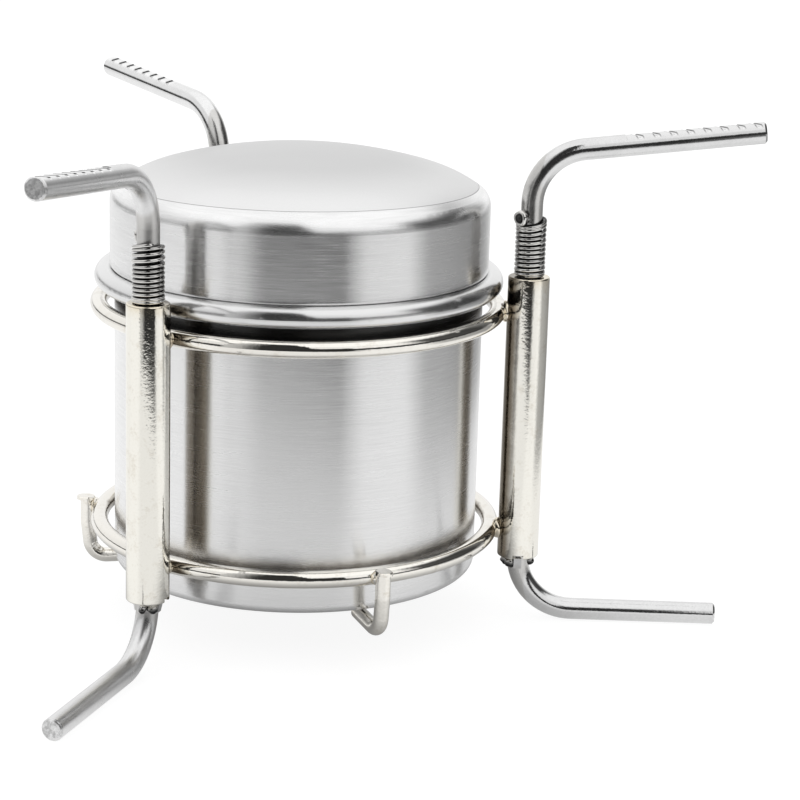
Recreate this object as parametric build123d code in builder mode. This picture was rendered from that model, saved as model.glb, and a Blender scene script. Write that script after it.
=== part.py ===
from build123d import *
import os
from math import asin, cos, degrees, radians, sin, sqrt

# Alcohol stove: a lidded fuel can with a jet burner inside, carried in a wire stand.
# Three bent rods turn in the stand's sleeve tubes. Each is a foot below and a pot arm above.
# Millimetres. The origin is the centre of the can's flat base, +Z up.

# Fuel can
sheet = 0.6
can_radius = 42.45
can_height = 70.45
can_corner_radius = 1.6
curl_overhang = 4.6
curl_tuck_radius = 1.9
curl_tuck_angle = 125.0

# Lid
lid_overhang = 1.08
lid_wall_height = 15.0
shoulder_radius = 3.9
shoulder_top_angle = 35.0
haunch_radius = 31.0
crown_radius = 117.0
ledge_bend_radius = 0.6
plug_neck_height = 2.2
plug_skirt_height = 2.6
groove_bend_radius = 0.45
seal_wire = 1.7

# Burner inside the can
collar_drop = 12.45
collar_skirt_height = 9.0
collar_shoulder_radius = 3.0
flue_radius = 29.2
flue_lip_height = 6.0
flue_bend_radius = 1.2
jet_count = 24
jet_diameter = 1.2
fuel_slot_count = 6
fuel_slot_width = 5.0
fuel_slot_height = 4.0
wick_thickness = 3.5
wick_headroom = 10.8

# Wire stand
ring_wire = 4.0
lower_ring_height = 9.6
upper_ring_drop = 9.0
post_weld_radius = 2.3
tube_diameter = 9.6
tube_foot_height = 3.2
tube_top_drop = 0.3
tube_edge_radius = 0.4
first_post_angle = -5.0
hook_wire = 3.4
hook_lead = 60.5
hook_rise = 2.3
hook_lean = 1.0
hook_drop = 1.2
hook_bend_radius = 3.7
hook_reach = 13.0
hook_end_chamfer = 0.25
hook_lip_thickness = 0.8
hook_lip_spread = 0.12
hook_lip_overhang = 0.8
hook_weld_radius = 1.9

# Support rods
rod_diameter = 5.0
ground_clearance = 12.4
arm_above_crown = 0.6
arm_length = 52.3
arm_bend_radius = 13.0
leg_length = 47.0
leg_bend_radius = 13.0
rod_end_chamfer = 0.45
grip_flat_depth = 0.3
groove_count = 8
groove_pitch = 3.8
groove_row_start = 2.5
groove_width = 1.0
groove_skew = 25.0
ear_overhang = 0.9
ear_thickness = 1.8
ear_height = 2.6
ear_side_angle = 76.0
notch_depth = 1.1
lug_radius = 1.45
lug_overhang = 1.5
lug_edge_radius = 0.35
lug_angle = -134.0

# Springs
spring_wire = 0.8
spring_height = 12.2
spring_turns = 10

# Clearances
bead_clearance = 1.05
weld_gap = 0.1
rod_clearance = 0.08
ear_clearance = 0.1
notch_clearance = 0.35
spring_clearance = 0.1
spring_seat_clearance = 0.05
seat_clearance = 0.1
plug_clearance = 0.15
press_clearance = 0.03
seal_clearance = 0.05
wick_clearance = 0.3

# How far each rod is turned from straight outwards when it is open, and how far its arm is
# bent up from level
rod_turns = {"right": 4.0, "rear": 12.6, "left": 16.5}
arm_tilts = {"right": 7.2, "rear": 5.4, "left": 5.2}
hook_names = ["rear", "left", "front"]

os.makedirs("parts", exist_ok=True)


def save(part, name):
    """Label a finished piece and write it to its own file."""
    part.label = name
    export_step(part, f"parts/{name}.step")


def polar_point(radius, angle, height=0.0):
    """The point at a radius and an angle from the stove's axis, at a height."""
    return Vector(radius * cos(radians(angle)), radius * sin(radians(angle)), height)


def upright_plane(angle, origin=(0, 0, 0)):
    """An upright plane whose x direction is horizontal at an angle and whose y direction is up."""
    return Plane(origin=origin, x_dir=polar_point(1, angle), z_dir=polar_point(1, angle - 90))


# Fuel can: a drawn cup whose rim is curled outwards into a bead and tucked in below
wall_line = can_radius - sheet / 2
curl_radius = curl_overhang / 2
curl_centre_radius = wall_line + curl_radius
curl_centre_height = can_height - sheet / 2 - curl_radius
with BuildPart() as fuel_can:
    with BuildSketch(Plane.XZ):
        with BuildLine():
            base = Line((0, sheet / 2), (wall_line - can_corner_radius, sheet / 2))
            corner = TangentArc(base @ 1, (wall_line, sheet / 2 + can_corner_radius), tangent=base % 1)
            Line(corner @ 1, (wall_line, curl_centre_height))
            CenterArc((curl_centre_radius, curl_centre_height), curl_radius, 180, -180)
            tuck_centre = (curl_centre_radius + curl_radius - curl_tuck_radius, curl_centre_height)
            CenterArc(tuck_centre, curl_tuck_radius, 0, -curl_tuck_angle)
        trace(line_width=sheet)
    revolve(axis=Axis.Z)
save(fuel_can.part, "fuel_can")

# Lid profile: crown, haunch and shoulder arcs run into each other and into the upright wall
mouth_radius = can_radius - sheet
lid_line = can_radius + lid_overhang - sheet / 2
shoulder_line = shoulder_radius - sheet / 2
haunch_line = haunch_radius - sheet / 2
crown_line = crown_radius - sheet / 2
shoulder_centre = Vector(lid_line - shoulder_line, can_height + lid_wall_height)
shoulder_top = Vector(sin(radians(shoulder_top_angle)), cos(radians(shoulder_top_angle)))
haunch_centre = shoulder_centre - (haunch_line - shoulder_line) * shoulder_top
crown_turn = degrees(asin(haunch_centre.X / (crown_line - haunch_line)))
crown_centre = Vector(0, haunch_centre.Y - (crown_line - haunch_line) * cos(radians(crown_turn)))
crown_top = crown_centre.Y + crown_radius

# Below the wall the lid steps in over the can's bead, then its plug goes down with a seal groove
ledge_corner = ledge_bend_radius + sheet / 2
seat_spread = curl_centre_radius - (lid_line - ledge_bend_radius)
seat_reach = ledge_corner + curl_radius + sheet / 2 + seat_clearance
ledge_height = curl_centre_height + sqrt(seat_reach**2 - seat_spread**2) - ledge_bend_radius
plug_line = mouth_radius - plug_clearance - sheet / 2
seal_circle_radius = mouth_radius - seal_clearance - seal_wire / 2
groove_line = seal_circle_radius - seal_wire / 2 - seal_clearance - sheet / 2
groove_top = ledge_height - plug_neck_height
groove_bottom = groove_top - seal_wire - 2 * seal_clearance - sheet
plug_bottom = groove_bottom - plug_skirt_height
with BuildPart() as lid:
    with BuildSketch(Plane.XZ):
        with BuildLine():
            CenterArc(crown_centre, crown_line, 90, -crown_turn)
            CenterArc(haunch_centre, haunch_line, 90 - crown_turn, crown_turn - shoulder_top_angle)
            CenterArc(shoulder_centre, shoulder_line, 90 - shoulder_top_angle, shoulder_top_angle - 90)
            FilletPolyline(
                (lid_line, shoulder_centre.Y),
                (lid_line, ledge_height),
                (plug_line, ledge_height),
                (plug_line, groove_top),
                (groove_line, groove_top),
                (groove_line, groove_bottom),
                (plug_line, groove_bottom),
                (plug_line, plug_bottom),
                radius=[ledge_bend_radius] * 2 + [groove_bend_radius] * 4,
            )
        trace(line_width=sheet)
    revolve(axis=Axis.Z)
save(lid.part, "lid")

# Seal: a round rubber ring in the plug's groove, against the inside of the can's mouth
seal_height = (groove_top + groove_bottom) / 2
with BuildPart(Plane.XY.offset(seal_height)) as lid_seal:
    Torus(seal_circle_radius, seal_wire / 2)
save(lid_seal.part, "lid_seal")

# Jet collar: an annular cap pressed into the can, with a lip down inside round the open flue
skirt_line = mouth_radius - press_clearance - sheet / 2
collar_line = can_height - collar_drop - sheet / 2
jet_circle_radius = (skirt_line + flue_radius) / 2
with BuildPart() as jet_collar:
    with BuildSketch(Plane.XZ):
        with BuildLine():
            FilletPolyline(
                (skirt_line, collar_line - collar_skirt_height),
                (skirt_line, collar_line),
                (flue_radius, collar_line),
                (flue_radius, collar_line - flue_lip_height),
                radius=[collar_shoulder_radius, flue_bend_radius],
            )
        trace(line_width=sheet)
    revolve(axis=Axis.Z)
    with Locations(Plane.XY.offset(collar_line + sheet / 2)):
        with PolarLocations(jet_circle_radius, jet_count):
            Hole(jet_diameter / 2, depth=2 * sheet)
save(jet_collar.part, "jet_collar")

# Inner wall: a sleeve from the can's floor up into the collar's lip, with fuel slots at its foot
inner_wall_radius = flue_radius - sheet / 2 - press_clearance
with BuildPart() as inner_wall:
    with BuildSketch(Plane.XY.offset(sheet)):
        Circle(inner_wall_radius)
        Circle(inner_wall_radius - sheet, mode=Mode.SUBTRACT)
    extrude(amount=collar_line - 2 * sheet - flue_bend_radius)
    with BuildSketch(Plane.XY.offset(sheet)):
        with PolarLocations(inner_wall_radius, fuel_slot_count):
            Rectangle(4 * sheet, fuel_slot_width)
    extrude(amount=fuel_slot_height, mode=Mode.SUBTRACT)
save(inner_wall.part, "inner_wall")

# Wick: a felt sleeve that stands on the can's floor round the inner wall
wick_radius = inner_wall_radius + wick_clearance
with BuildPart() as wick_sleeve:
    with BuildSketch(Plane.XY.offset(sheet)):
        Circle(wick_radius + wick_thickness)
        Circle(wick_radius, mode=Mode.SUBTRACT)
    extrude(amount=collar_line - sheet / 2 - wick_headroom - sheet)
save(wick_sleeve.part, "wick_sleeve")

# Wire stand: the sleeve tubes stand just outside the bead, and both rings are welded inside them
post_circle_radius = can_radius + curl_overhang + bead_clearance + tube_diameter / 2
ring_radius = post_circle_radius - tube_diameter / 2 - weld_gap - ring_wire / 2
weld_circle_radius = ring_radius + ring_wire / 2
hook_circle_radius = weld_circle_radius + weld_gap + hook_wire / 2
first_hook_angle = first_post_angle + hook_lead

with BuildPart(Plane.XY.offset(can_height - upper_ring_drop)) as upper_ring:
    with PolarLocations(weld_circle_radius, 3, start_angle=first_post_angle):
        Sphere(post_weld_radius)
    with PolarLocations(post_circle_radius, 3, start_angle=first_post_angle):
        Cylinder(tube_diameter / 2, 3 * post_weld_radius, mode=Mode.SUBTRACT)
    Torus(ring_radius, ring_wire / 2)
save(upper_ring.part, "upper_ring")

with BuildPart(Plane.XY.offset(lower_ring_height)) as lower_ring:
    with PolarLocations(weld_circle_radius, 3, start_angle=first_post_angle):
        Sphere(post_weld_radius)
    with PolarLocations(weld_circle_radius, 3, start_angle=first_hook_angle):
        Sphere(hook_weld_radius)
    with PolarLocations(post_circle_radius, 3, start_angle=first_post_angle):
        Cylinder(tube_diameter / 2, 3 * post_weld_radius, mode=Mode.SUBTRACT)
    with PolarLocations(hook_circle_radius, 3, start_angle=first_hook_angle):
        Cylinder(hook_wire / 2, 3 * hook_weld_radius, mode=Mode.SUBTRACT)
    Torus(ring_radius, ring_wire / 2)
save(lower_ring.part, "lower_ring")

# Can hooks: bent wires welded outside the lower ring. Each leans in a little on its way down,
# its foot rises under the can, and its sheared top end is spread outwards into a lip
hook_level = -hook_wire / 2 - seat_clearance
hook_top = lower_ring_height + hook_rise
hook_lip_width = hook_wire + 2 * hook_lip_spread
for i, name in enumerate(hook_names):
    hook_angle = first_hook_angle + 120 * i
    with BuildPart() as can_hook:
        with BuildLine(upright_plane(hook_angle)) as hook_path:
            FilletPolyline(
                (hook_circle_radius - hook_reach, hook_level),
                (hook_circle_radius - hook_lean, hook_level - hook_drop),
                (hook_circle_radius, lower_ring_height - ring_wire),
                (hook_circle_radius, hook_top - hook_lip_thickness / 2),
                radius=hook_bend_radius,
            )
        hook_start = Plane(origin=hook_path.line @ 0, z_dir=hook_path.line % 0)
        with BuildSketch(hook_start):
            Circle(hook_wire / 2)
        sweep()
        chamfer(can_hook.faces().filter_by(GeomType.PLANE).edges(), hook_end_chamfer)
        with BuildSketch(Plane.XY.offset(hook_top - hook_lip_thickness)):
            with Locations(polar_point(hook_circle_radius + hook_lip_overhang / 2, hook_angle)):
                SlotCenterToCenter(hook_lip_overhang, hook_lip_width, rotation=hook_angle)
        extrude(amount=hook_lip_thickness)
        chamfer(can_hook.faces().sort_by(Axis.Z)[-1].edges(), hook_end_chamfer)
    save(can_hook.part, f"can_hook_{name}")

# Posts: each carries a sleeve tube of the stand, a support rod in its bore and a spring on top
tube_top = can_height - tube_top_drop
spring_top = tube_top + spring_height
arm_height = crown_top + arm_above_crown
leg_height = rod_diameter / 2 - ground_clearance
bore_radius = rod_diameter / 2 + rod_clearance
notch_width = ear_thickness + 2 * notch_clearance
ear_top = tube_foot_height - ear_clearance
coil_radius = rod_diameter / 2 + spring_clearance + spring_wire / 2
coil_height = spring_height - spring_wire - 2 * spring_seat_clearance

for i, (name, rod_turn) in enumerate(rod_turns.items()):
    post_angle = first_post_angle + 120 * i
    arm_angle = post_angle + rod_turn
    arm_tilt = radians(arm_tilts[name])
    post_point = polar_point(post_circle_radius, post_angle)
    arm_plane = upright_plane(arm_angle, post_point)
    ear_plane = upright_plane(arm_angle - 90, post_point)

    # Sleeve tube: its foot is notched where the rod's ears catch when the rod is open
    with BuildPart() as post_tube:
        with BuildSketch(Plane.XY.offset(tube_foot_height)):
            with Locations(post_point):
                Circle(tube_diameter / 2)
                Circle(bore_radius, mode=Mode.SUBTRACT)
        extrude(amount=tube_top - tube_foot_height)
        rims = post_tube.edges().filter_by(GeomType.CIRCLE).group_by(SortBy.RADIUS)[-1]
        fillet(rims, tube_edge_radius)
        with BuildSketch(Plane.XY.offset(tube_foot_height)):
            with Locations(post_point):
                Rectangle(notch_width, 2 * tube_diameter, rotation=arm_angle)
        extrude(amount=notch_depth, mode=Mode.SUBTRACT)
    save(post_tube.part, f"post_tube_{name}")

    # Support rod: leg, shank and arm in one bent bar. The arm is pressed flat on top towards its
    # tip, with a row of round-bottomed grooves across the flat
    with BuildPart() as support_rod:
        with BuildLine(arm_plane) as rod_path:
            FilletPolyline(
                (leg_length, leg_height),
                (0, leg_height),
                (0, arm_height),
                (arm_length * cos(arm_tilt), arm_height + arm_length * sin(arm_tilt)),
                radius=[leg_bend_radius, arm_bend_radius],
            )
        rod_start = Plane(origin=rod_path.line @ 0, z_dir=rod_path.line % 0)
        with BuildSketch(rod_start):
            Circle(rod_diameter / 2)
        sweep()
        chamfer(support_rod.faces().filter_by(GeomType.PLANE).edges(), rod_end_chamfer)

        along = rod_path.line % 1
        up = arm_plane.z_dir.cross(along)
        row_middle = groove_row_start + groove_pitch * (groove_count - 1) / 2
        flat_lift = rod_diameter / 2 - grip_flat_depth
        grip_plane = Plane(
            origin=(rod_path.line @ 1) - along * row_middle + up * flat_lift,
            x_dir=along,
            z_dir=up,
        )
        with Locations(grip_plane):
            Box(
                2 * row_middle,
                rod_diameter,
                rod_diameter,
                align=(Align.CENTER, Align.CENTER, Align.MIN),
                mode=Mode.SUBTRACT,
            )
            with GridLocations(groove_pitch, 1, groove_count, 1):
                Cylinder(
                    groove_width / 2,
                    3 * rod_diameter,
                    rotation=(90, groove_skew, 0),
                    mode=Mode.SUBTRACT,
                )

        # Ears pinched out of the shank below the tube, and the end of a cross pin above the spring
        with BuildSketch(ear_plane):
            with Locations((0, ear_top)):
                Trapezoid(
                    rod_diameter + 2 * ear_overhang,
                    ear_height,
                    ear_side_angle,
                    rotation=180,
                    align=(Align.CENTER, Align.MIN),
                )
        extrude(amount=ear_thickness / 2, both=True)
        lug_centre = post_point + Vector(0, 0, spring_top + lug_radius)
        lug_plane = Plane(origin=lug_centre, z_dir=polar_point(1, arm_angle + lug_angle))
        with BuildSketch(lug_plane):
            Circle(lug_radius)
        extrude(amount=rod_diameter / 2 + lug_overhang)
        fillet(support_rod.faces().filter_by(lug_plane).edges(), lug_edge_radius)
    save(support_rod.part, f"support_rod_{name}")

    # Spring: a coil round the shank between the tube's top and the lug
    with BuildPart() as spring:
        coil_start = post_point + Vector(0, 0, tube_top + spring_seat_clearance + spring_wire / 2)
        with BuildLine(Plane(origin=coil_start, x_dir=polar_point(1, arm_angle))) as coil:
            Helix(coil_height / spring_turns, coil_height, coil_radius)
        with BuildSketch(Plane(origin=coil.line @ 0, z_dir=coil.line % 0)):
            Circle(spring_wire / 2)
        sweep(is_frenet=True)
    save(spring.part, f"spring_{name}")
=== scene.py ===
# %% [markdown]
# # A camping stove in brushed steel and nickel plate
#
# The stove is a lidded fuel can in a wire stand. Its solid parts arrive as a fixed frame
# that must not be moved, so this lesson is about what Blender adds: the grain of brushed
# steel, the glow of nickel plate, the beads of weld, the coils of the springs, and the
# studio that all this metal mirrors. Everything is in metres, with Z up.

# %% Load the frame
import math

import bmesh
import bpy
import numpy as np
from mathutils import Matrix, Vector


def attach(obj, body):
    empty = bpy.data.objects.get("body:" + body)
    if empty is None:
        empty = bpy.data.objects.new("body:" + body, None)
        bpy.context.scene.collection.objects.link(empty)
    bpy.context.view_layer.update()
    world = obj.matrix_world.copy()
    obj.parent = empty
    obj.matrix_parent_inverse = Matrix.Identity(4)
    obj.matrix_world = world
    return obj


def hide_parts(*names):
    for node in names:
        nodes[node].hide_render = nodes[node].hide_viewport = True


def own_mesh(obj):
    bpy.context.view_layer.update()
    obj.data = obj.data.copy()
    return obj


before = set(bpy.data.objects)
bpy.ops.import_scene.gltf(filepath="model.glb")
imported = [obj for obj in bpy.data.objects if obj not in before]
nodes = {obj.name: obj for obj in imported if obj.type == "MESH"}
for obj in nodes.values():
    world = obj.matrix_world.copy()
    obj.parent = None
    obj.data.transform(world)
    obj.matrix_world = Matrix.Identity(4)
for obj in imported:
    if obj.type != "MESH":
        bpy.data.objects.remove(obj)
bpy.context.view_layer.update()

MM = 0.001
scene = bpy.context.scene

# %% [markdown]
# ## The camera
#
# The view is the photograph's: fifteen degrees above the table, close enough for the rings
# to open into ellipses, and the camera leans a little to one side. A camera can be aimed
# with a constraint, but a matrix built from three directions says the same with no extra
# object, and the lean is one turn of two of those directions.

# %% Camera
CAMERA_RISE = math.radians(14.961)
CAMERA_LEAN = math.radians(1.662)
CAMERA_DISTANCE = 578.4 * MM
CAMERA_TARGET = Vector((24.0 * MM, 0.0, 38.66 * MM))
LENS = 111.34
SENSOR = 36.0

backwards = Vector((0.0, -math.cos(CAMERA_RISE), math.sin(CAMERA_RISE)))
sideways = Vector((1.0, 0.0, 0.0))
upright = backwards.cross(sideways)
right = sideways * math.cos(CAMERA_LEAN) + upright * math.sin(CAMERA_LEAN)
upwards = upright * math.cos(CAMERA_LEAN) - sideways * math.sin(CAMERA_LEAN)

camera = bpy.data.objects.new("camera", bpy.data.cameras.new("camera"))
camera.data.lens = LENS
camera.data.sensor_width = SENSOR
camera.matrix_world = Matrix.Translation(CAMERA_TARGET + backwards * CAMERA_DISTANCE) @ (
    Matrix((right, upwards, backwards)).transposed().to_4x4()
)
scene.collection.objects.link(camera)
scene.camera = camera
scene.view_settings.view_transform = "Standard"
print("camera at", [round(value, 3) for value in camera.location])

# %% [markdown]
# ## Shader arithmetic
#
# A material is a graph, and wiring one by hand hides the idea behind it. This small class
# wraps a socket so that a formula such as 1 - mask * 0.5 adds its Math nodes by itself.
# Any other node comes from its one method, add, which takes the node's type, its
# settings and the values or links of its sockets.


# %% A socket that knows arithmetic
class Wire:
    """A shader value. Arithmetic on it adds Math nodes to the same graph."""

    def __init__(self, tree, socket=None):
        self.tree = tree
        self.socket = socket

    def add(self, kind, settings=None, sockets=None, output=0):
        """Add a node, its settings first and its sockets next, and give back one output."""
        node = self.tree.nodes.new("ShaderNode" + kind)
        for name, value in (settings or {}).items():
            if name == "stops":
                elements = node.color_ramp.elements
                while len(elements) < len(value):
                    elements.new(1.0)
                for element, (place, colour) in zip(elements, value):
                    element.position = place
                    element.color = colour
            else:
                setattr(node, name, value)
        for name, value in (sockets or {}).items():
            socket = node.inputs[name]
            if isinstance(value, Wire):
                self.tree.links.new(value.socket, socket)
            else:
                socket.default_value = value
        return Wire(self.tree, node.outputs[output])

    def math(self, operation, first, second=0.0):
        """One Math node, which works on one value or on two."""
        return self.add("Math", {"operation": operation}, {0: first, 1: second})

    def __add__(self, other):
        return self.math("ADD", self, other)

    def __sub__(self, other):
        return self.math("SUBTRACT", self, other)

    def __rsub__(self, other):
        return self.math("SUBTRACT", other, self)

    def __mul__(self, other):
        return self.math("MULTIPLY", self, other)

    def __truediv__(self, other):
        return self.math("DIVIDE", self, other)

    def __pow__(self, other):
        return self.math("POWER", self, other)

    __radd__ = __add__
    __rmul__ = __mul__

    def step(self, low, high):
        """A smooth step from 0 at low to 1 at high, which may also run downwards."""
        return self.add(
            "MapRange",
            {"interpolation_type": "SMOOTHSTEP"},
            {"Value": self, "From Min": low, "From Max": high},
        )

    def between(self, first, second):
        """The colour a part of the way from the first to the second."""
        return self.add(
            "Mix", {"data_type": "RGBA"}, {"Factor": self, 6: first, 7: second}, output=2
        )


print("arithmetic on a", Wire.__name__)

# %% [markdown]
# ## Helpers for materials
#
# Every material here starts the same way, reads the same kinds of value and ends in the
# same sockets, so each of those habits is a function of a few lines. The size of a noise is
# given in metres, because that can be compared with the piece that carries it.


# %% Helpers for materials
def grey(value, warmth=0.0):
    """A colour of one brightness, moved towards yellow by the warmth."""
    return (value * (1 + warmth * 0.5), value, value * (1 - warmth), 1.0)


def start_material(name):
    """A new node material: its graph, a Principled shader and the object's own coordinates."""
    material = bpy.data.materials.new(name)
    material.use_nodes = True
    tree = material.node_tree
    shader = tree.nodes["Principled BSDF"]
    wire = Wire(tree)
    place = wire.add("TexCoord", output="Object")
    return material, wire, shader, place


def connect(wire, shader, **links):
    """Set the shader's sockets, where an underscore stands for a space in the name."""
    for name, value in links.items():
        socket = shader.inputs[name.replace("_", " ")]
        if isinstance(value, Wire):
            wire.tree.links.new(value.socket, socket)
        else:
            socket.default_value = value


def mix_surface(wire, factor, first, second):
    """Make the material's surface a mix of two shaders: the first at 0, the second at 1."""
    mixed = wire.add("MixShader", None, {0: factor, 1: first, 2: second})
    wire.tree.links.new(mixed.socket, wire.tree.nodes["Material Output"].inputs["Surface"])


def split(wire, vector):
    """The three numbers of a vector."""
    outputs = wire.add("SeparateXYZ", None, {0: vector}).socket.node.outputs
    return [Wire(wire.tree, socket) for socket in outputs]


def dot(wire, vector, direction):
    """How far a vector reaches along a direction."""
    return wire.add(
        "VectorMath", {"operation": "DOT_PRODUCT"}, {0: vector, 1: direction}, output="Value"
    )


def raw_noise(wire, vector, detail=2.0, roughness=0.5):
    """Noise whose blotches are about 1 across in the vector that is given."""
    return wire.add(
        "TexNoise", None, {"Vector": vector, "Scale": 1.0, "Detail": detail, "Roughness": roughness}
    )


def noise(wire, place, size, stretch=(1.0, 1.0, 1.0), detail=2.0, roughness=0.5):
    """Noise whose blotches are about size metres across, stretched along the axes."""
    scaled = wire.add(
        "VectorMath",
        {"operation": "MULTIPLY"},
        {0: place, 1: [1 / (size * value) for value in stretch]},
    )
    return raw_noise(wire, scaled, detail, roughness)


def swing(value, amount):
    """A value from 0 to 1 turned into a swing about 0 that spans the amount."""
    return (value - 0.5) * amount


def relief(wire, height, strength, depth):
    """A normal tilted by a height, where a height of 1 stands for the depth in metres."""
    return wire.add("Bump", None, {"Strength": strength, "Distance": depth, "Height": height})


print("grey of 0.5 is", grey(0.5))

# %% [markdown]
# ## The studio
#
# Metal has almost no look of its own: it shows the room. The room here is a light tent, and
# a few greys describe it. Three zones lie above each other. The horizon, where the paper
# ends, is nearly black but for the back, and draws a thin dark line along every round bar.
# The wall above it is white panels with one dark opening at the right. Everything higher is
# the white ceiling. Each zone is a colour ramp read by compass direction, so no picture is
# needed. The floor has such a ramp too, for what the table gives way to further out.

# %% World
HORIZON = (
    (-180, 0.05), (-60, 0.03), (30, 0.05), (52, 0.90), (112, 0.90), (128, 0.05), (180, 0.05),
)
TENT_WALL = (
    (-180, 0.85), (-130, 0.85), (-64, 0.90), (-50, 1.00), (-26, 0.95), (-12, 0.08),
    (30, 0.05), (50, 0.24), (66, 0.95), (120, 1.00), (180, 0.85),
)
FAR_FLOOR = (
    (-180, 0.90), (-170, 1.12), (-134, 1.12), (-123, 0.10), (-63, 0.08),
    (-50, 1.00), (-22, 1.12), (-8, 0.50), (22, 0.38), (48, 0.28),
    (64, 0.55), (78, 1.00), (136, 1.00), (180, 0.85),
)
CEILING = 1.10
WALL_STARTS = (4, 11)
CEILING_STARTS = (34, 50)
HORIZON_TILT = 0.12


def sines(degrees):
    """The heights on a sphere of radius 1 that belong to angles above the horizon."""
    return [math.sin(math.radians(angle)) for angle in degrees]


def ramp_by_compass(wire, x, y, stops):
    """A grey read from stops of (degrees, value) by the direction of x and y."""
    compass = wire.math("ARCTAN2", y, x) / math.tau + 0.5
    places = [(degrees / 360 + 0.5, grey(value)) for degrees, value in stops]
    return wire.add("ValToRGB", {"stops": places}, {"Fac": compass})


world = bpy.data.worlds.new("studio")
world.use_nodes = True
scene.world = world
sky = Wire(world.node_tree)
look_x, look_y, look_z = split(sky, sky.add("TexCoord", output="Generated"))
horizon = ramp_by_compass(sky, look_x, look_y, HORIZON)
wall = ramp_by_compass(sky, look_x, look_y, TENT_WALL)
tilted = look_z + look_y * HORIZON_TILT
sides = tilted.step(*sines(WALL_STARTS)).between(horizon, wall)
room = look_z.step(*sines(CEILING_STARTS)).between(sides, grey(CEILING))
seen = sky.add("LightPath", output="Is Camera Ray")
background = world.node_tree.nodes["Background"]
sky.tree.links.new(seen.between(room, grey(1.0)).socket, background.inputs["Color"])
print("tent stops", len(TENT_WALL))

# %% [markdown]
# ## Surfaces from numbers
#
# Every new shape in this lesson is a grid of points that numpy works out in one go, as a
# function of two parameters. This function turns such a grid into a mesh. It hands whole
# arrays to Blender, which is much faster than one call for each vertex.


# %% A mesh from a grid
def surface(name, points, closed_round=False, poles=False, open_side=None):
    """A mesh from a grid of points: rows run along the piece, and columns run round it.

    Every four neighbouring points make a face. A grid that is closed round gets one more
    strip of faces that joins its last column to its first. Where a row shrinks to a pole,
    its points are merged into one, so that the surface has no hole there. A number for each
    point may be given as open_side, how lit that point is painted, for a material to read
    as painted light and shade.
    """
    rows, columns = points.shape[:2]
    numbers = np.arange(rows * columns).reshape(rows, columns)
    if closed_round:
        numbers = np.hstack((numbers, numbers[:, :1]))
    corners = (numbers[:-1, :-1], numbers[:-1, 1:], numbers[1:, 1:], numbers[1:, :-1])
    faces = np.stack([corner.ravel() for corner in corners], axis=1)
    mesh = bpy.data.meshes.new(name)
    mesh.vertices.add(rows * columns)
    mesh.vertices.foreach_set("co", points.astype(np.float32).ravel())
    mesh.loops.add(faces.size)
    mesh.loops.foreach_set("vertex_index", faces.astype(np.int32).ravel())
    mesh.polygons.add(len(faces))
    mesh.polygons.foreach_set("loop_start", np.arange(0, faces.size, 4, dtype=np.int32))
    mesh.update(calc_edges=True)
    if open_side is not None:
        layer = mesh.attributes.new("open_side", "FLOAT", "POINT")
        layer.data.foreach_set("value", open_side.astype(np.float32).ravel())
    if poles:
        merged = bmesh.new()
        merged.from_mesh(mesh)
        bmesh.ops.remove_doubles(merged, verts=merged.verts, dist=1e-7)
        bmesh.ops.recalc_face_normals(merged, faces=merged.faces)
        merged.to_mesh(mesh)
        merged.free()
    mesh.shade_smooth()
    piece = bpy.data.objects.new(name, mesh)
    scene.collection.objects.link(piece)
    return piece


print("grid to mesh with", surface.__name__)

# %% [markdown]
# ## The floor
#
# The table is white paper that runs out of the picture. A round sheet worked out ring by
# ring does, because its edge can't be told from the white behind it. The rings lie closer
# together near the stove, because each is placed by the square of its share of the way out.

# %% Floor
FLOOR_LEVEL = -12.4 * MM
FLOOR_RADIUS = 1.6
FLOOR_HUB = 0.02
FLOOR_RINGS = 40
FLOOR_SPOKES = 64


def floor_sheet():
    """A level round sheet: (r cos a, r sin a, level), where r is radius * share squared."""
    share, turn = np.meshgrid(
        np.linspace(FLOOR_HUB, 1, FLOOR_RINGS) ** 2,
        np.linspace(0, math.tau, FLOOR_SPOKES, endpoint=False),
        indexing="ij",
    )
    reach = FLOOR_RADIUS * share
    level = np.full(reach.shape, FLOOR_LEVEL)
    return np.stack((reach * np.cos(turn), reach * np.sin(turn), level), axis=-1)


floor = surface("floor", floor_sheet(), closed_round=True)
print("floor", FLOOR_RADIUS * 2, "m across")

# %% [markdown]
# ## Paper
#
# The camera sees the paper a little brighter than the light alone makes it, so that it is
# white away from the stove and still takes the stove's soft shadow. A Light Path node tells
# the camera's rays from the others. In reflections the paper is dim under the stove and
# bright on the table, and past the table's edge it gives way to the ramp of the far floor.

# %% Paper
TABLE_EDGE = (0.30, 0.37)
TABLE_SHIFT = 0.15
STOVE_SHADE = (0.03, 0.10)
SHADE_TONE = 0.30
TABLE_TONE = 1.12
FAR_SHARE = 0.12
PAPER_TONE = 0.24
CAMERA_GLOW = 0.86
PAPER_GLOW = 0.85


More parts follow.
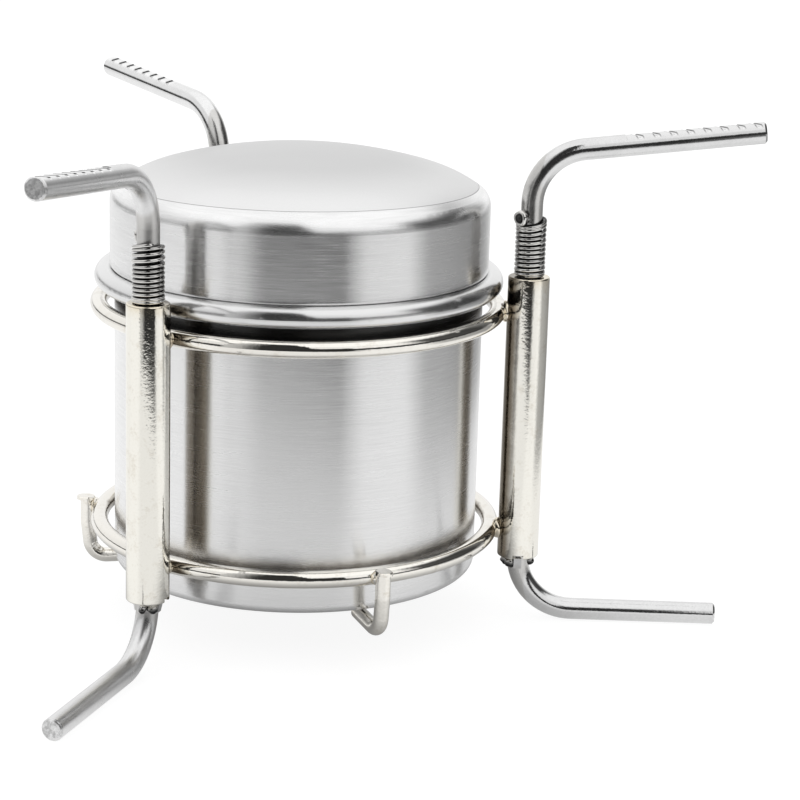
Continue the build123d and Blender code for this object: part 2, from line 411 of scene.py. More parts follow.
def paper_material():
    """White paper: one brightness for the camera's rays, and another for all the others."""
    material, wire, shader, place = start_material("paper")
    x, y, _ = split(wire, place)
    from_stove = (x * x + y * y) ** 0.5
    shifted = x + TABLE_SHIFT
    from_table = (shifted * shifted + y * y) ** 0.5
    beyond = ramp_by_compass(wire, x, y, FAR_FLOOR)
    # A painted shadow: in reflections the paper is dim under the stove.
    near = from_stove.step(*STOVE_SHADE).between(grey(SHADE_TONE), grey(TABLE_TONE))
    lit = wire.add(
        "Mix", {"data_type": "RGBA"}, {"Factor": FAR_SHARE, 6: near, 7: beyond}, output=2
    )
    mirrored = from_table.step(*TABLE_EDGE).between(lit, beyond)
    connect(wire, shader, Base_Color=grey(PAPER_TONE), Roughness=0.9, Specular_IOR_Level=0.0)
    matt = Wire(wire.tree, shader.outputs[0])
    mirror_lamp = wire.add("Emission", None, {"Color": mirrored, "Strength": 1.0})
    camera_lamp = wire.add("Emission", None, {"Color": grey(1.0), "Strength": CAMERA_GLOW})
    in_mirrors = wire.add("MixShader", None, {0: PAPER_GLOW, 1: matt, 2: mirror_lamp})
    to_camera = wire.add("AddShader", None, {0: matt, 1: camera_lamp})
    mix_surface(wire, wire.add("LightPath", output="Is Camera Ray"), in_mirrors, to_camera)
    return material


floor.data.materials.append(paper_material())
print("paper on", floor.name)

# %% [markdown]
# ## The black flag
#
# A polished ring that mirrors only white looks like white plastic. Photographers hang a
# black card close to such metal, so that a dark shape runs through its highlights. This one
# curves round the front and is cut lower on the right, where the arm should take only a thin
# line. Only glossy rays find it: to the camera and to the light it is fully transparent, so
# it hides and shades nothing.

# %% Flag
FLAG_RADIUS = 0.24
FLAG_FOOT = 0.01
FLAG_HEIGHT = 0.50
FLAG_LOW_HEIGHT = 0.13
FLAG_LEFT = -124
FLAG_RIGHT = -62
FLAG_CUT_START = -92
FLAG_CUT_WIDTH = 14
FLAG_FADE = (-0.060, -0.130)
FLAG_BLACK = 0.03
FLAG_FADED = 0.55
FLAG_COLUMNS = 48
FLAG_ROWS = 8


def flag_card():
    """A card curved round the stove: (r cos a, r sin a, z), where z runs from foot to top.

    The top comes down by a smooth step, 3 s squared less 2 s cubed, where the card is cut.
    """
    turn, share = np.meshgrid(
        np.linspace(math.radians(FLAG_LEFT), math.radians(FLAG_RIGHT), FLAG_COLUMNS),
        np.linspace(0, 1, FLAG_ROWS),
    )
    cut = np.clip((np.degrees(turn) - FLAG_CUT_START) / FLAG_CUT_WIDTH, 0, 1)
    cut = cut * cut * (3 - 2 * cut)
    top = FLAG_HEIGHT + (FLAG_LOW_HEIGHT - FLAG_HEIGHT) * cut
    height = FLAG_FOOT + (top - FLAG_FOOT) * share
    return np.stack((FLAG_RADIUS * np.cos(turn), FLAG_RADIUS * np.sin(turn), height), axis=-1)


def black_card():
    """Black that only mirrors see, and that fades to grey at the card's left end."""
    material, wire, _, place = start_material("black_card")
    faded = split(wire, place)[0].step(*FLAG_FADE).between(grey(FLAG_BLACK), grey(FLAG_FADED))
    cloth = wire.add("Emission", None, {"Color": faded, "Strength": 1.0})
    clear = wire.add("BsdfTransparent", None, {"Color": grey(1.0)})
    mix_surface(wire, wire.add("LightPath", output="Is Glossy Ray"), clear, cloth)
    return material


flag = surface("flag", flag_card())
flag.data.materials.append(black_card())
print("flag", FLAG_HEIGHT, "m high")

# %% [markdown]
# ## Brushed steel
#
# The can was turned against an abrasive belt, so its grain runs round it in fine level
# scratches. Two things tell the eye so. The scratches themselves are noise that is far
# finer up the wall than round it. And each highlight is smeared across the scratches, up
# and down, which is what Anisotropic does. The can's curled bead was rolled smooth, and the
# crevice below it, where the ring sits, is painted nearly black, a painted shade.

# %% Can steel
STEEL = 0.87
STEEL_ROUGHNESS = 0.25
SMEAR = 0.9
SMEAR_TURN = 0.25
ROUND_SCALE = 90.0
FINE_SCRATCHES = 5200.0
COARSE_SCRATCHES = 1300.0
BEAD_RADII = (42.6 * MM, 43.1 * MM)
WALL_RADII = (41.9 * MM, 42.3 * MM)
CREVICE_SHADE_FOOT = (60.0 * MM, 61.5 * MM)
CREVICE_SHADE_TOP = (69.0 * MM, 67.2 * MM)
CREVICE_SHADE_TONE = 0.06
BEAD_TONE = 0.78
BEAD_ROUGHNESS = 0.19
BEAD_POLISH = 0.85


def turned_noise(wire, x, y, along, scratches, detail, roughness):
    """Noise for turned metal: slow round the axis, and fine up a wall or out along a face."""
    stretched = {0: x * ROUND_SCALE, 1: y * ROUND_SCALE, 2: along * scratches}
    return raw_noise(wire, wire.add("CombineXYZ", None, stretched), detail, roughness)


def brushed_steel(name, has_bead_and_shade):
    """Steel with a turned grain, and if asked with the can's bead and the painted shade below it.
    """
    material, wire, shader, place = start_material(name)
    x, y, height = split(wire, place)
    radius = (x * x + y * y) ** 0.5
    grain = turned_noise(wire, x, y, height + radius, FINE_SCRATCHES, 3.0, 0.65)
    streak = turned_noise(wire, x, y, height + radius, COARSE_SCRATCHES, 2.0, 0.5)
    cloud = noise(wire, place, 20.0 * MM)
    tone = swing(grain, 0.32) + swing(streak, 0.08) + swing(cloud, 0.04)
    colour = (tone + 0.5).between(grey(STEEL - 0.5), grey(STEEL + 0.5))
    rough = swing(grain, 0.14) + swing(streak, 0.06) + STEEL_ROUGHNESS
    scratched = grain + streak * 0.25
    if has_bead_and_shade:
        bead = radius.step(*BEAD_RADII)
        outside = radius.step(*WALL_RADII) * (1.0 - bead)
        # Painted shade: the wall in the crevice under the bead is painted nearly black.
        crevice_shade = height.step(*CREVICE_SHADE_FOOT) * height.step(*CREVICE_SHADE_TOP) * outside
        colour = crevice_shade.between(colour, grey(CREVICE_SHADE_TONE))
        colour = bead.between(colour, grey(BEAD_TONE))
        rough = rough + bead * (BEAD_ROUGHNESS - rough)
        scratched = scratched * (1.0 - bead * BEAD_POLISH)
    connect(
        wire, shader, Base_Color=colour, Roughness=rough, Metallic=1.0,
        Normal=relief(wire, scratched, 0.12, 0.04 * MM),
        Anisotropic=SMEAR, Anisotropic_Rotation=SMEAR_TURN,
    )
    return material, wire, shader, place


can_steel = brushed_steel("can_steel", True)[0]
print("steel", can_steel.name)

# %% [markdown]
# ## The lid's satin top
#
# The lid's wall is brushed like the can's, but its top has a satin finish with no direction.
# That is a second shader, and a mask on the distance from the axis mixes the two. The
# circle where they meet was scored a little off centre and shows as a fine dark line, and
# the satin is painted brighter towards it, a painted highlight.

# %% Lid steel
SATIN = 0.70
SATIN_CENTRE = 0.46
SATIN_RIM_HIGHLIGHT = 0.15
SATIN_ROUGHNESS = 0.38
SATIN_SHIFT = (0.32 * MM, -1.37 * MM)
SATIN_RADII = (41.15 * MM, 41.00 * MM)
SCORE_INSIDE = (40.85 * MM, 41.05 * MM)
SCORE_OUTSIDE = (41.30 * MM, 41.12 * MM)
SATIN_LEVEL = (86.0 * MM, 86.5 * MM)
RIM_HIGHLIGHT_RADII = (20.0 * MM, 41.2 * MM)
SCORE_TONE = 0.22


def satin_topped_steel(name):
    """Brushed steel with a satin shader mixed over it inside the scored circle on its top."""
    material, wire, shader, place = brushed_steel(name, False)
    x, y, level = split(wire, place)
    x, y = x + SATIN_SHIFT[0], y + SATIN_SHIFT[1]
    reach = (x * x + y * y) ** 0.5
    on_top = level.step(*SATIN_LEVEL)
    inside = reach.step(*SATIN_RADII) * on_top
    scored = reach.step(*SCORE_INSIDE) * reach.step(*SCORE_OUTSIDE) * on_top
    pits = noise(wire, place, 0.35 * MM, detail=3.0)
    drift = noise(wire, place, 12.0 * MM, stretch=(3.0, 1.0, 1.0))
    # Painted highlight: the satin is painted brighter towards the scored circle.
    rim = reach.step(*RIM_HIGHLIGHT_RADII)
    tone = swing(pits, 0.06) + swing(drift, 0.05) + rim * SATIN_RIM_HIGHLIGHT + SATIN_CENTRE
    colour = tone.between(grey(SATIN - 0.5), grey(SATIN + 0.5))
    satin = wire.add("BsdfPrincipled")
    connect(
        wire, satin.socket.node, Metallic=1.0, Normal=relief(wire, pits, 0.10, 0.03 * MM),
        Base_Color=scored.between(colour, grey(SCORE_TONE)),
        Roughness=swing(pits, 0.08) + swing(drift, 0.06) + SATIN_ROUGHNESS,
    )
    mix_surface(wire, inside, Wire(wire.tree, shader.outputs[0]), satin)
    return material


lid_steel = satin_topped_steel("lid_steel")
print("steel", lid_steel.name)

# %% [markdown]
# ## Nickel plate
#
# The stand is soft wire and tube, bent, welded and plated afterwards. Plating follows every
# small unevenness below it, so its mirror is never quite true: an orange peel of shallow
# bumps bends the reflections, and the plate has a warm tint that polished steel has not.
# Heat and use change it, and each change is one more mask over the same plate. Two more
# masks are painted shade: the plate darkens on its side towards the can, and where a
# piece's painted light number is low.

# %% Nickel
NICKEL = (0.90, 0.875, 0.82, 1.0)
STAINED = (0.66, 0.60, 0.50, 1.0)
TUBE_PLATE = (0.91, 0.89, 0.825, 1.0)
SPRING_PLATE = (0.76, 0.75, 0.73, 1.0)
SPRING_WORN = (0.45, 0.42, 0.38, 1.0)
STRAW = (0.74, 0.62, 0.42, 1.0)
CAN_SIDE_SHADE = (0.20, 0.17, 0.13, 1.0)
WELD_PLATE = (0.80, 0.73, 0.60, 1.0)
WELD_BURNT = (0.42, 0.34, 0.24, 1.0)
PAINTED_SHADE_TONE = 0.03
PAINTED_SHADE_EDGE = (0.35, 1.0)
STAIN_EDGE = (0.5, 0.75)
STRAW_SHARE = 0.55
PLATE_ROUGHNESS = 0.05


def nickel_plate(
    name, peel_size, peel_depth, cloudy, pitting=0.15, bright=NICKEL, dull=STAINED,
    can_side_shade_radii=None, straw_levels=None, reads_painted_light=False,
):
    """Warm nickel over uneven metal. Peel is the size and depth of its waves, in metres.

    Cloudy is how far the blotches go from the bright colour to the dull one. Towards the can
    the plate is painted dark between two radii, a painted shade, and upwards it turns to straw
    between two levels. A piece with a open_side attribute is painted black where that is
    low: painted shade, as inside a coil.
    """
    material, wire, shader, place = start_material(name)
    peel = noise(wire, place, peel_size)
    pits = noise(wire, place, 0.5 * MM)
    blotch = noise(wire, place, 4.0 * MM, detail=4.0, roughness=0.65)
    stain = blotch.step(*STAIN_EDGE) * cloudy + swing(pits, 0.3)
    colour = stain.between(bright, dull)
    x, y, z = split(wire, place)
    if straw_levels:
        heated = (z + swing(blotch, 6.0 * MM)).step(*straw_levels)
        colour = (heated * STRAW_SHARE).between(colour, STRAW)
    # Painted shade: the side towards the can is painted dark.
    if can_side_shade_radii:
        can_side_shade = ((x * x + y * y) ** 0.5 + swing(blotch, 1.2 * MM)).step(*can_side_shade_radii)
        colour = can_side_shade.between(colour, CAN_SIDE_SHADE)
    # Painted shade: black where the painted light number is low.
    if reads_painted_light:
        open_side = wire.add("Attribute", {"attribute_name": "open_side"}, output="Fac")
        colour = open_side.step(*PAINTED_SHADE_EDGE).between(grey(PAINTED_SHADE_TONE), colour)
    connect(
        wire, shader, Metallic=1.0, Base_Color=colour,
        Normal=relief(wire, peel + pits * pitting, 0.6, peel_depth),
        Roughness=PLATE_ROUGHNESS + (blotch - 0.4) * 0.10 + stain * 0.10,
    )
    return material


# The rings and the tubes are painted dark on their side towards the can, a painted shade.
ring_nickel = nickel_plate(
    "ring_nickel", 2.8 * MM, 0.07 * MM, 0.35, can_side_shade_radii=(45.0 * MM, 44.1 * MM)
)
tube_nickel = nickel_plate(
    "tube_nickel", 1.4 * MM, 0.04 * MM, 0.4, pitting=0.8, bright=TUBE_PLATE,
    can_side_shade_radii=(52.1 * MM, 49.8 * MM), straw_levels=(66.0 * MM, 71.5 * MM),
)
hook_nickel = nickel_plate("hook_nickel", 2.0 * MM, 0.10 * MM, 0.5)
weld_nickel = nickel_plate(
    "weld_nickel", 2.0 * MM, 0.05 * MM, 0.8, pitting=0.10, bright=WELD_PLATE, dull=WELD_BURNT
)
spring_nickel = nickel_plate(
    "spring_nickel", 3.0 * MM, 0.04 * MM, 0.25, bright=SPRING_PLATE, dull=SPRING_WORN,
    reads_painted_light=True,
)
print("nickel", ring_nickel.name, tube_nickel.name, hook_nickel.name)

# %% [markdown]
# ## Where the rods are
#
# The rods are alike, and stand round the can 120 degrees apart. A few numbers say where each
# post and each arm lies. The materials and the small pieces below read them, so that they
# stay with the solid rods.

# %% Rod places
POST_CIRCLE = 52.9 * MM
POSTS = {"right": -5.0, "rear": 115.0, "left": 235.0}
ARM_TURNS = {"right": 4.0, "rear": 12.6, "left": 16.5}
ARM_TILTS = {"right": 7.2, "rear": 5.4, "left": 5.2}
ARM_HEIGHT = 98.29 * MM
ARM_LENGTH = 52.3 * MM
SPRING_FOOT = 70.2 * MM
SPRING_TOP = 82.3 * MM


def level_direction(degrees):
    """The level direction at a compass angle: (cos a, sin a, 0)."""
    angle = math.radians(degrees)
    return np.array((math.cos(angle), math.sin(angle), 0.0))


def post_centre(name):
    """The foot of a post's axis."""
    return POST_CIRCLE * level_direction(POSTS[name])


def arm_frame(name):
    """The arm's tip, and its directions along to the tip, across to the left, and up."""
    turn = POSTS[name] + ARM_TURNS[name]
    tilt = math.radians(ARM_TILTS[name])
    along = level_direction(turn) * math.cos(tilt) + (0.0, 0.0, math.sin(tilt))
    across = level_direction(turn + 90.0)
    tip = post_centre(name) + (0.0, 0.0, ARM_HEIGHT) + ARM_LENGTH * along
    return tip, along, across, np.cross(along, across)


for name in POSTS:
    print(name, "arm's tip", arm_frame(name)[0].round(4))

# %% [markdown]
# ## Drawn bar
#
# The rods are stainless bar, drawn to size, bent cold and tumbled, so they are a little
# duller than the plated stand. Some places differ. The shank is mottled where the spring
# and the tube rub on it, and inside the spring it is painted nearly black, a painted shade
# that darkens the gaps between the coils. The grip near the tip was pressed flat and is
# grey, and each groove across it has a painted highlight between edges of painted shade.
# The ends were cut off with a shear and are rough. These places follow the arm, so each rod
# gets a material of its own. The bar's brightness, the grip's tone and the grooves' marks
# also differ from rod to rod, painted light for how each rod is lit.

# %% Rod steel
ROD_DULLNESS = {"right": 0.11, "rear": 0.13, "left": 0.29}
PAINTED_LIGHT_BY_ROD = {"right": 1.0, "rear": 1.14, "left": 1.08}
GRIP_TONE_AND_HIGHLIGHT = {"right": 0.76, "rear": 0.94, "left": 0.94}
LIP_SHADE_TONE = {"right": 0.28, "rear": 0.60, "left": 0.74}
BAR_TONES = (0.60, 0.84)
CUT_TONES = (0.50, 0.88)
CUT_EDGE = (0.35, 0.65)
RUBBED = grey(0.50, 0.06)
RUBBED_SHARE = 0.5
GROOVE_HIGHLIGHT_TONE = 0.95
COIL_SHADE_TONE = 0.05
GRIP_LEVELS = (1.3 * MM, 2.1 * MM)
GRIP_ENDS = (31.6 * MM, 31.0 * MM)
GROOVE_START = 2.5 * MM
GROOVE_PITCH = 3.8 * MM
GROOVE_SKEW = math.tan(math.radians(25))
GROOVE_SIDES = (0.52 * MM, 0.30 * MM)
LIP_INSIDE = (0.46 * MM, 0.56 * MM)
LIP_OUTSIDE = (0.92 * MM, 0.74 * MM)
SHANK_RADII = (3.2 * MM, 2.7 * MM)
COIL_SHADE_FADE_BELOW = 0.4 * MM
COIL_SHADE_FADE_ABOVE = 0.6 * MM
LEG_LEVELS = (60.0 * MM, 40.0 * MM)
LEG_CUT = (46.6 * MM, 46.9 * MM)
ARM_CUT = (0.4 * MM, 0.1 * MM)


def grip_masks(wire, offset, along, across, up):
    """Where the flat grip, its grooves and the grooves' lips are, and the way from the tip.

    The grooves slant, so their rows are counted by the way from the tip less a share of the
    way aside. The distance from the nearest row then says what is groove and what is lip.
    """
    from_tip = dot(wire, offset, along) * -1.0
    aside = dot(wire, offset, across)
    above = dot(wire, offset, up)
    row = (from_tip - aside * GROOVE_SKEW - GROOVE_START) / GROOVE_PITCH
    past = wire.math("ABSOLUTE", (row - wire.math("ROUND", row)) * GROOVE_PITCH)
    grip = above.step(*GRIP_LEVELS) * from_tip.step(*GRIP_ENDS)
    groove = grip * past.step(*GROOVE_SIDES)
    lip = grip * past.step(*LIP_INSIDE) * past.step(*LIP_OUTSIDE)
    return grip, groove, lip, from_tip


def rod_steel(name):
    """Drawn bar: a mottled shank, painted shade inside the coils, painted light on the grip."""
    material, wire, shader, place = start_material(f"rod_steel_{name}")
    fleck = noise(wire, place, 0.6 * MM, detail=3.0, roughness=0.6)
    bloom = noise(wire, place, 5.0 * MM, detail=3.0)
    shear = noise(wire, place, 1.1 * MM, detail=4.0, roughness=0.7)
    tip, along, across, up = arm_frame(name)
    offset = wire.add("VectorMath", {"operation": "SUBTRACT"}, {0: place, 1: tip})
    grip, groove, lip, from_tip = grip_masks(wire, offset, along, across, up)

    x, y, z = split(wire, offset)
    foot = post_centre(name) - tip
    from_post_x = x - float(foot[0])
    from_post_y = y - float(foot[1])
    level = z + float(tip[2])
    spread_squared = from_post_x * from_post_x + from_post_y * from_post_y
    spread = spread_squared**0.5
    shank = spread_squared.step(*(radius**2 for radius in SHANK_RADII))
    # Painted shade: the shank inside the spring is painted nearly black, so the gaps between the
    # coils look dark.
    coil_shade = shank * level.step(SPRING_FOOT - COIL_SHADE_FADE_BELOW, SPRING_FOOT)
    coil_shade = coil_shade * level.step(SPRING_TOP + COIL_SHADE_FADE_ABOVE, SPRING_TOP)
    rubbed = shank * (1.0 - coil_shade)
    cut = level.step(*LEG_LEVELS) * spread.step(*LEG_CUT) + from_tip.step(*ARM_CUT)

    tone = swing(fleck, 0.6) + swing(bloom, 0.5 + rubbed * 0.8) + 0.5
    # Painted light: the bar's brightness and the grip's tone are set for each rod by how it is lit,
    # each groove is a painted highlight and its lips are painted shade.
    colour = tone.between(*(grey(value * PAINTED_LIGHT_BY_ROD[name]) for value in BAR_TONES))
    colour = (rubbed * RUBBED_SHARE).between(colour, RUBBED)
    colour = grip.between(colour, grey(GRIP_TONE_AND_HIGHLIGHT[name]))
    colour = groove.between(colour, grey(GROOVE_HIGHLIGHT_TONE))
    colour = lip.between(colour, grey(LIP_SHADE_TONE[name]))
    torn = shear.step(*CUT_EDGE).between(*(grey(value) for value in CUT_TONES))
    colour = cut.between(colour, torn)
    colour = coil_shade.between(colour, grey(COIL_SHADE_TONE))
    height = fleck + bloom * (1.0 + rubbed * 3.0) + shear * cut * 4.0
    connect(
        wire, shader, Metallic=1.0, Base_Color=colour,
        Normal=relief(wire, height, 0.30, 0.05 * MM),
        Roughness=ROD_DULLNESS[name] + swing(bloom, 0.12) + rubbed * 0.10,
    )
    return material


rod_steels = {name: rod_steel(name) for name in POSTS}
print("rods", sorted(rod_steels))

# %% [markdown]
# ## Inside the can
#
# The burner is hidden until the lid comes off. Its cap and inner sleeve are plain pressed
# steel, a little straw coloured from the flame, the wick is undyed felt, and the lid's
# seal is black rubber.

# %% Burner, felt and rubber
PRESSED_STEEL = (0.70, 0.69, 0.67, 1.0)
HEATED_STEEL = (0.66, 0.58, 0.44, 1.0)
FELT_SHADE = (0.62, 0.56, 0.45, 1.0)
FELT = (0.86, 0.83, 0.74, 1.0)


def pressed_steel(name):
    """Plain steel with broad straw-coloured stains."""
    material, wire, shader, place = start_material(name)
    stain = noise(wire, place, 9.0 * MM, detail=4.0, roughness=0.6)
    connect(
        wire, shader, Metallic=1.0, Roughness=swing(stain, 0.2) + 0.24,
        Base_Color=stain.step(0.35, 0.75).between(PRESSED_STEEL, HEATED_STEEL),
    )
    return material


def felt(name):
    """Matt wool with a soft bright edge, which Sheen gives."""
    material, wire, shader, place = start_material(name)
    fluff = noise(wire, place, 1.1 * MM, detail=5.0, roughness=0.7)
    connect(
        wire, shader, Roughness=0.95, Sheen_Weight=0.4, Specular_IOR_Level=0.2,
        Normal=relief(wire, fluff, 0.8, 0.4 * MM),
        Base_Color=fluff.step(0.3, 0.7).between(FELT_SHADE, FELT),
    )
    return material


def rubber(name):
    """Black rubber with a faint bloom, rougher where the bloom is."""
    material, wire, shader, place = start_material(name)
    bloom = noise(wire, place, 2.0 * MM, detail=3.0)
    connect(
        wire, shader, Roughness=0.45 + bloom * 0.3,
        Base_Color=bloom.between(grey(0.02), grey(0.06)),
    )
    return material


burner_steel = pressed_steel("burner_steel")
wick_felt = felt("wick_felt")
seal_rubber = rubber("seal_rubber")
print("inside", burner_steel.name, wick_felt.name, seal_rubber.name)

# %% [markdown]
# ## Every solid node gets its finish
#
# The frame's nodes keep their shapes and their places. Only the material in their slot is
# changed. Most are found by their own name, and the pieces that come in threes by the
# start of it.

# %% Finishes
FINISHES = {
    "fuel_can": can_steel, "lid": lid_steel, "jet_collar": burner_steel,
    "inner_wall": burner_steel, "wick_sleeve": wick_felt, "lid_seal": seal_rubber,
    "upper_ring": ring_nickel, "lower_ring": ring_nickel,
}
for name, node in nodes.items():
    finish = FINISHES.get(name)
    if name.startswith("support_rod"):
        finish = rod_steels[name.rsplit("_", 1)[1]]
    elif name.startswith("post_tube"):
        finish = tube_nickel
    elif name.startswith(("can_hook", "spring")):
        finish = hook_nickel
    node.data.materials.clear()
    node.data.materials.append(finish)
print("finished nodes", len(nodes))

# %% [markdown]
# ## A coil by hand
#
# Each spring is wound by hand round its rod: closed coils at both ends, wider ones between,
# and a last coil that slopes up past the pin it presses on. A screw modifier makes only
# even coils, so the wire is a ring of points carried along a path. The path's height is the
# sum of small steps, and each step is as long as the coil is open at that place.

# %% Coil shape
SPRING_WIRE = 0.84 * MM
SPRING_RADIUS = 3.18 * MM
SPRING_SLOPE = 0.75 * MM
SPRING_TURNS = 12.45
STEPS_PER_TURN = 40
CLOSED_TURNS = 0.6
CLOSED_GAP = 0.55
HAND = 0.25
HAND_WOBBLE = 0.34 * MM


def tube_round(path, radius, sides):
    """Rings of points round a path: centre + radius * (side cos a + over sin a).

    The side direction is level and square to the path, and over is square to both.
    """
    along = np.gradient(path, axis=0)
    along /= np.linalg.norm(along, axis=1, keepdims=True)
    side = np.cross(along, (0.0, 0.0, 1.0))
    side /= np.linalg.norm(side, axis=1, keepdims=True)
    over = np.cross(side, along)
    angle = np.linspace(0, math.tau, sides, endpoint=False)
    ring = side[:, None] * np.cos(angle)[:, None] + over[:, None] * np.sin(angle)[:, None]
    return path[:, None] + ring * np.broadcast_to(radius, len(path))[:, None, None]


def coil_path(foot, top, pin_angle, seed):
    """Points of a coil: (r cos a, r sin a, z), where z adds up the openness of each step.

    Towards the top z also rises by slope * (1 - cos(a - pin)), away from the pin.
    """
    rng = np.random.default_rng(seed)
    turns = SPRING_TURNS
    step = np.linspace(0, 1, int(turns * STEPS_PER_TURN) + 1)
    angle = pin_angle + math.pi - turns * math.tau * (1 - step)
    ends = np.clip(np.minimum(step, 1 - step) * turns - CLOSED_TURNS, 0.0, 1.0)
    knots = rng.uniform(1 - HAND, 1 + HAND, int(turns) + 2)
    uneven = np.interp(step * turns, np.arange(len(knots)), knots)
    height = np.cumsum(CLOSED_GAP + ends * uneven)
    height = (height - height[0]) / (height[-1] - height[0])
    wobble = np.interp(step * turns, np.arange(len(knots)), (knots - 1) * HAND_WOBBLE)
    radius = SPRING_RADIUS + wobble
    lean = SPRING_SLOPE * step**4 * (1 - np.cos(angle - pin_angle))
    level = foot + height * (top - foot) + lean
    return np.stack((radius * np.cos(angle), radius * np.sin(angle), level), axis=1)


print("coil of", SPRING_TURNS, "turns")

# %% [markdown]
# ## Springs
#
# The pin drags the spring round when the rod turns, so the coil rides on the rod. A
# number at each point says how far out of the coil it lies, and the plate's material reads
# it to paint the gaps black, a painted shade.

# %% Springs
PIN_TURN = -134.0
WIRE_SIDES = 12
BLUNT_END = 0.46

for seed, name in enumerate(POSTS, start=3):
    centre = post_centre(name)
    pin_angle = math.radians(POSTS[name] + ARM_TURNS[name] + PIN_TURN)
    half_wire = SPRING_WIRE / 2
    path = coil_path(SPRING_FOOT + half_wire, SPRING_TOP - half_wire, pin_angle, seed)
    size = np.full(len(path), half_wire)
    size[0] = size[-1] = 0.0
    size[1] = size[-2] = SPRING_WIRE * BLUNT_END
    grid = tube_round(path + centre, size, WIRE_SIDES)
    # Painted shade: the number falls towards the coil's inside, where the wire is painted black.
    outward = np.linalg.norm(grid[..., :2] - centre[:2], axis=-1)
    open_side = (outward - SPRING_RADIUS) / half_wire
    coil = surface(f"coil_{name}", grid, closed_round=True, poles=True, open_side=open_side)
    coil.data.materials.append(spring_nickel)
    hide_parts(f"spring_{name}")
    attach(coil, f"rod_{name}")
    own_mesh(coil)
    print(coil.name, len(coil.data.polygons), "faces")

# %% [markdown]
# ## Pin ends
#
# The spring pushes up against a pin through the rod. Its end was hammered, so it is a little
# mushroom with a dented face, wider than the plain pin of the solid model. A profile turned
# round the pin's axis gives it, and a few waves round the rim show the hammer.

# %% Pins
PIN_LEVEL = 83.95 * MM
PIN_PROFILE = (
    (2.0, 1.30), (2.5, 1.45), (2.9, 1.64), (3.5, 1.80), (3.95, 1.78), (4.22, 1.58),
    (4.28, 1.34), (4.16, 1.00), (4.08, 0.45), (4.10, 0.0),
)
# Painted light and shade: how lit each row of the profile is painted, bright at the rim and dark at
# the neck and the face.
PIN_RIM = (0.2, 0.3, 0.6, 0.9, 1.0, 1.0, 0.9, 0.35, 0.45, 0.30)
PIN_SIDES = 36
PIN_WAVES = 3
PIN_DENT = 0.03


def turned(profile, base, axis):
    """A profile of (distance, radius) turned round a level axis: base + d * axis + r * circle(a).

    The radius is multiplied by 1 + dent * cos(waves * a) and a second wave, which dents the rim.
    """
    distance, radius = (np.array(profile) * MM).T
    side = np.cross(axis, (0.0, 0.0, 1.0))
    over = np.cross(axis, side)
    angle = np.linspace(0, math.tau, PIN_SIDES, endpoint=False)
    uneven = 1 + PIN_DENT * (
        np.cos(PIN_WAVES * angle) + 0.6 * np.cos((PIN_WAVES + 2) * angle + 1.3)
    )
    circle = side * np.cos(angle)[:, None] + over * np.sin(angle)[:, None]
    ring = radius[:, None, None] * (circle * uneven[:, None])[None]
    return base + distance[:, None, None] * axis + ring


for name in POSTS:
    axis = level_direction(POSTS[name] + ARM_TURNS[name] + PIN_TURN)
    grid = turned(PIN_PROFILE, post_centre(name) + (0.0, 0.0, PIN_LEVEL), axis)
    rim = np.broadcast_to(np.array(PIN_RIM)[:, None], grid.shape[:2])
    pin_end = surface(f"pin_{name}", grid, closed_round=True, poles=True, open_side=rim)
    pin_end.data.materials.append(spring_nickel)
    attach(pin_end, f"rod_{name}")
print("pins", len(POSTS))

# %% [markdown]
# ## Weld beads
#
# Where a ring meets a tube, or a hook meets the lower ring, the welder left a lump that
# flowed into both. It is never round. A ball whose radius is 1 plus a few slow waves looks
# right at this size, and the plate over it is stained straw and brown by the heat.

# %% Welds
RING_RADIUS = 46.0 * MM
RING_WIRE = 4.0 * MM
RING_LEVELS = {"upper": 61.45 * MM, "lower": 9.6 * MM}
RING_WELD = (1.5, 2.6, 2.5)
HOOK_WELD = (1.1, 2.2, 1.9)
HOOK_LEAD = 60.5
HOOK_WELD_OUT = 0.1 * MM
LUMP_ROWS = 20
LUMP_COLUMNS = 32
LUMP_WAVES = 5
LUMP_DEPTH = 0.05
LUMP_PITCH = 3.2


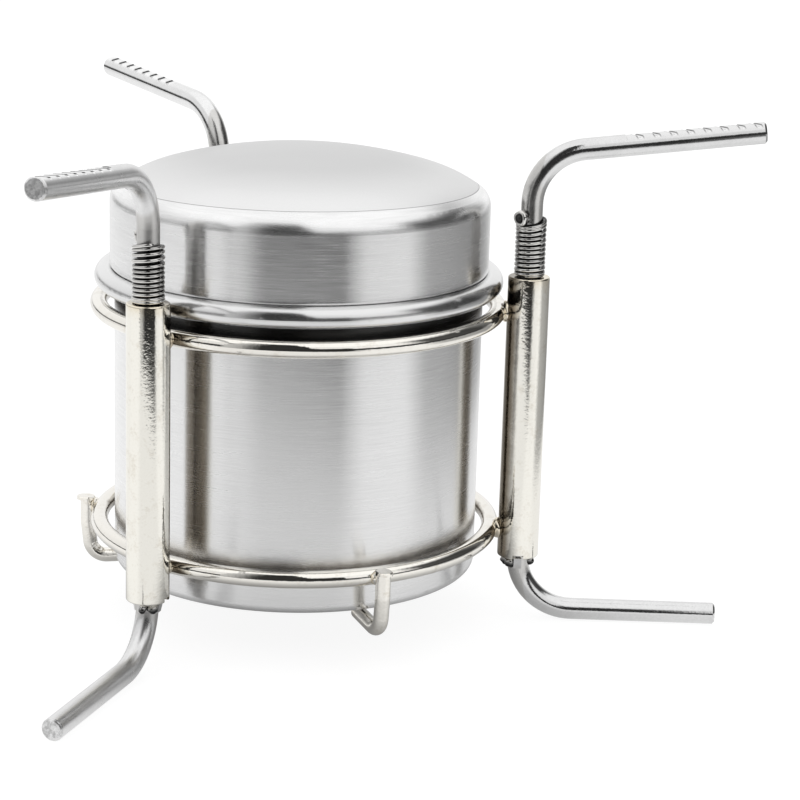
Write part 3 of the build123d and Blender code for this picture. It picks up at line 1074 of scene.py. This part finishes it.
def lump(name, centre, size, degrees, seed, body="stand"):
    """A lumpy ball: centre + size * (1 + waves) * direction, with size for out, round and up."""
    rng = np.random.default_rng(seed)
    lean, turn = np.meshgrid(
        np.linspace(0, math.pi, LUMP_ROWS),
        np.linspace(0, math.tau, LUMP_COLUMNS, endpoint=False),
        indexing="ij",
    )
    way = np.stack(
        (np.sin(lean) * np.cos(turn), np.sin(lean) * np.sin(turn), np.cos(lean)), axis=-1
    )
    swell = np.ones(lean.shape)
    for wave in rng.normal(size=(LUMP_WAVES, 3)):
        swell += LUMP_DEPTH * np.sin(way @ wave * LUMP_PITCH + rng.uniform(0, math.tau))
    ball = way * swell[..., None] * np.array(size) * MM
    outwards = level_direction(degrees)
    around = level_direction(degrees + 90.0)
    placed = centre + ball @ np.stack((outwards, around, (0.0, 0.0, 1.0)))
    # Painted light: lighter on top and darker below. Only the stakes' material reads it.
    lit_side = 0.55 + 0.45 * way[..., 2]
    piece = surface(name, placed, closed_round=True, poles=True, open_side=lit_side)
    piece.data.materials.append(weld_nickel if body == "stand" else spring_nickel)
    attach(piece, body)


contact = RING_RADIUS + RING_WIRE / 2
weld_count = 0
for seed, (name, angle) in enumerate(POSTS.items()):
    for ring_name, level in RING_LEVELS.items():
        centre = level_direction(angle) * contact + (0.0, 0.0, level)
        weld_seed = seed * 7 + weld_count
        lump(f"weld_{ring_name}_{name}", centre, RING_WELD, angle, weld_seed)
        weld_count += 1
    hook_angle = angle + HOOK_LEAD
    centre = level_direction(hook_angle) * (contact + HOOK_WELD_OUT)
    centre = centre + (0.0, 0.0, RING_LEVELS["lower"])
    lump(f"weld_hook_{name}", centre, HOOK_WELD, hook_angle, seed * 5 + 40)
    weld_count += 1
print("welds", weld_count)

# %% [markdown]
# ## Stakes
#
# Just below each tube the rod was squeezed in a press, from two sides, so that it can't slide
# up through the tube. Every squeeze pushes out two round lumps. They are the same lumpy balls,
# and they turn and sink with the rod.

# %% Stakes
STAKE_TURNS = (2.0, 49.0, 182.0, 229.0)
STAKE_WIDTHS = (0.95, 1.30, 0.95, 1.30)
STAKE_LEVEL = 1.85 * MM
STAKE_OUT = 2.75 * MM

for name in POSTS:
    for count, (turn, width) in enumerate(zip(STAKE_TURNS, STAKE_WIDTHS)):
        angle = POSTS[name] + ARM_TURNS[name] + turn
        centre = post_centre(name) + level_direction(angle) * STAKE_OUT + (0.0, 0.0, STAKE_LEVEL)
        size = (1.15, width, 1.2)
        lump(f"stake_{name}_{count}", centre, size, angle, count * 3 + 70, f"rod_{name}")
print("stakes", len(POSTS) * len(STAKE_TURNS))
